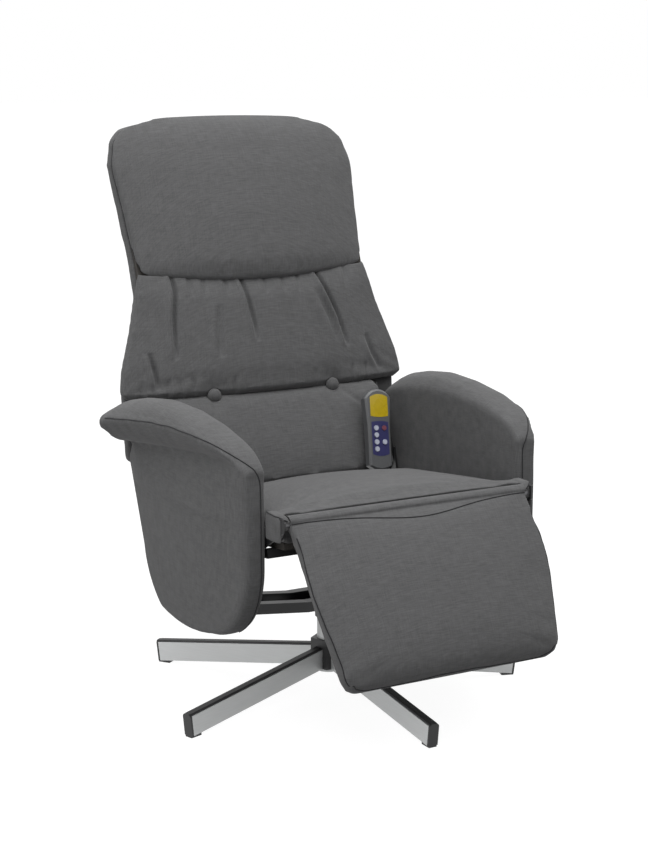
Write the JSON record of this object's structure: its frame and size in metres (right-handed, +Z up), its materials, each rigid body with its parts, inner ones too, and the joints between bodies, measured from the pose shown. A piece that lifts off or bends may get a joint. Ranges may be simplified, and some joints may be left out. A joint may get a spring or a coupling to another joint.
{
  "type": "massage recliner",
  "caption": "Upholstered push-back massage recliner on a swivelling star base, with curved padded arms, tufted back, head pad, hinged footrest and a hand control.",
  "frame": {"origin": "middle of the chair's box on the floor plane", "axes": "+Z up, the sitter faces -Y, +X to the sitter's left"},
  "size_m": [0.74, 0.8959, 1.068],
  "materials": {
    "frame_black": "satin black powder coat",
    "leg_silver": "satin silver",
    "trim_black": "fine matt",
    "steel": "zinc plated",
    "fabric_grey": "plain weave upholstery",
    "shell_fabric": "plain weave upholstery over board",
    "board": "raw plywood",
    "box_black": "moulded",
    "motor_case": "moulded",
    "motor_weight": "turned",
    "remote_grey": "fine texture",
    "remote_yellow": "printed panel",
    "remote_blue": "printed panel",
    "key_blue": "domed keys",
    "key_red": "domed key"
  },
  "bodies": {
    "base": {"base_hub": "frame_black", "hub_disc": "leg_silver", "base_leg_1": "leg_silver", "base_leg_2": "leg_silver", "base_leg_3": "leg_silver", "base_leg_4": "leg_silver", "base_leg_5": "leg_silver", "leg_top_strips": "trim_black", "leg_end_caps": "trim_black", "foot_glides": "trim_black", "swivel_column": "leg_silver", "column_lock_screw": "steel", "swivel_washer": "trim_black"},
    "seat": {"swivel_spindle": "frame_black", "carrier_frame": "frame_black", "carrier_plate": "frame_black", "seat_rails": "frame_black", "back_pivot_pins": "steel", "footrest_pivot_pins": "steel", "arm_bolts": "steel", "seat_board": "board", "seat_cross_bars": "frame_black", "control_box": "box_black", "power_inlet": "box_black", "seat_motor_cases": "motor_case", "seat_cushion": "fabric_grey", "arm_panel_left": "fabric_grey", "arm_panel_right": "fabric_grey", "arm_pad_left": "fabric_grey", "arm_pad_right": "fabric_grey"},
    "back": {"back_motor_cases": "motor_case", "back_shell": "shell_fabric", "back_frame": "board", "lumbar_cushion": "fabric_grey", "back_cushion": "fabric_grey", "headrest_pad": "fabric_grey", "tuft_buttons": "fabric_grey", "back_brackets": "frame_black"},
    "footrest": {"footrest_cushion": "fabric_grey", "footrest_board": "board", "footrest_pivot_tube": "steel", "footrest_levers": "frame_black"},
    "links": {"recline_link_left": "frame_black", "recline_link_right": "frame_black"},
    "remote": {"remote_front_shell": "remote_grey", "remote_back_shell": "remote_grey", "remote_display": "remote_yellow", "remote_keypad": "remote_blue"},
    "key_power": {"key_power": "key_red"},
    "key_mode": {"key_mode": "key_blue"},
    "key_speed_up": {"key_speed_up": "key_blue"},
    "key_speed_down": {"key_speed_down": "key_blue"},
    "key_zone": {"key_zone": "key_blue"},
    "key_timer": {"key_timer": "key_blue"},
    "seat_left_rotor": {"seat_left_rotor": "motor_weight"},
    "back_left_rotor": {"back_left_rotor": "motor_weight"},
    "head_left_rotor": {"head_left_rotor": "motor_weight"},
    "seat_right_rotor": {"seat_right_rotor": "motor_weight"},
    "back_right_rotor": {"back_right_rotor": "motor_weight"},
    "head_right_rotor": {"head_right_rotor": "motor_weight"}
  },
  "joints": [
    {"name": "swivel", "type": "hinge", "parent": "base", "child": "seat", "pos_m": [0, 0.00537, 0.15], "axis": [0, 0, 1], "continuous": true},
    {"name": "back_recline", "type": "hinge", "parent": "seat", "child": "back", "pos_m": [0, 0.19537, 0.4], "axis": [-1, 0, 0], "range_deg": [0, 30]},
    {"name": "footrest_lift", "type": "hinge", "parent": "seat", "child": "footrest", "pos_m": [0, -0.27863, 0.415], "axis": [-1, 0, 0], "range_deg": [0, 60.5]},
    {"name": "recline_links", "type": "hinge", "parent": "back", "child": "links", "pos_m": [0, 0.22237, 0.3532], "axis": [-1, 0, 0], "range_deg": [-29.8, 0]},
    {"name": "remote_lift", "type": "slide", "parent": "seat", "child": "remote", "axis": [0.0944, 0.2704, 0.9581], "range_m": [0, 0.2]},
    {"name": "key_power_press", "type": "slide", "parent": "remote", "child": "key_power", "axis": [0, 0.9624, -0.2716], "range_m": [0, 0.0012], "stiffness_N_per_m": 900, "springref_m": -0.0004},
    {"name": "key_mode_press", "type": "slide", "parent": "remote", "child": "key_mode", "axis": [0, 0.9624, -0.2716], "range_m": [0, 0.0012], "stiffness_N_per_m": 900, "springref_m": -0.0004},
    {"name": "key_speed_up_press", "type": "slide", "parent": "remote", "child": "key_speed_up", "axis": [0, 0.9624, -0.2716], "range_m": [0, 0.0012], "stiffness_N_per_m": 900, "springref_m": -0.0004},
    {"name": "key_speed_down_press", "type": "slide", "parent": "remote", "child": "key_speed_down", "axis": [0, 0.9624, -0.2716], "range_m": [0, 0.0012], "stiffness_N_per_m": 900, "springref_m": -0.0004},
    {"name": "key_zone_press", "type": "slide", "parent": "remote", "child": "key_zone", "axis": [0, 0.9624, -0.2716], "range_m": [0, 0.0012], "stiffness_N_per_m": 900, "springref_m": -0.0004},
    {"name": "key_timer_press", "type": "slide", "parent": "remote", "child": "key_timer", "axis": [0, 0.9624, -0.2716], "range_m": [0, 0.0012], "stiffness_N_per_m": 900, "springref_m": -0.0004},
    {"name": "seat_left_spin", "type": "hinge", "parent": "seat", "child": "seat_left_rotor", "pos_m": [0.107, -0.07389, 0.35518], "axis": [0, 0.1133, 0.9936], "continuous": true},
    {"name": "back_left_spin", "type": "hinge", "parent": "back", "child": "back_left_rotor", "pos_m": [0.13, 0.26623, 0.61177], "axis": [0, -0.9791, 0.2032], "continuous": true},
    {"name": "head_left_spin", "type": "hinge", "parent": "back", "child": "head_left_rotor", "pos_m": [0.13, 0.34852, 0.89525], "axis": [0, -0.9435, 0.3313], "continuous": true},
    {"name": "seat_right_spin", "type": "hinge", "parent": "seat", "child": "seat_right_rotor", "pos_m": [-0.107, -0.07389, 0.35518], "axis": [0, 0.1133, 0.9936], "continuous": true},
    {"name": "back_right_spin", "type": "hinge", "parent": "back", "child": "back_right_rotor", "pos_m": [-0.13, 0.26623, 0.61177], "axis": [0, -0.9791, 0.2032], "continuous": true},
    {"name": "head_right_spin", "type": "hinge", "parent": "back", "child": "head_right_rotor", "pos_m": [-0.13, 0.34852, 0.89525], "axis": [0, -0.9435, 0.3313], "continuous": true}
  ],
  "couplings": [
    {"joint": "footrest_lift", "follows": "back_recline", "ratio": 2},
    {"joint": "recline_links", "follows": "back_recline", "ratio": -0.9785}
  ]
}
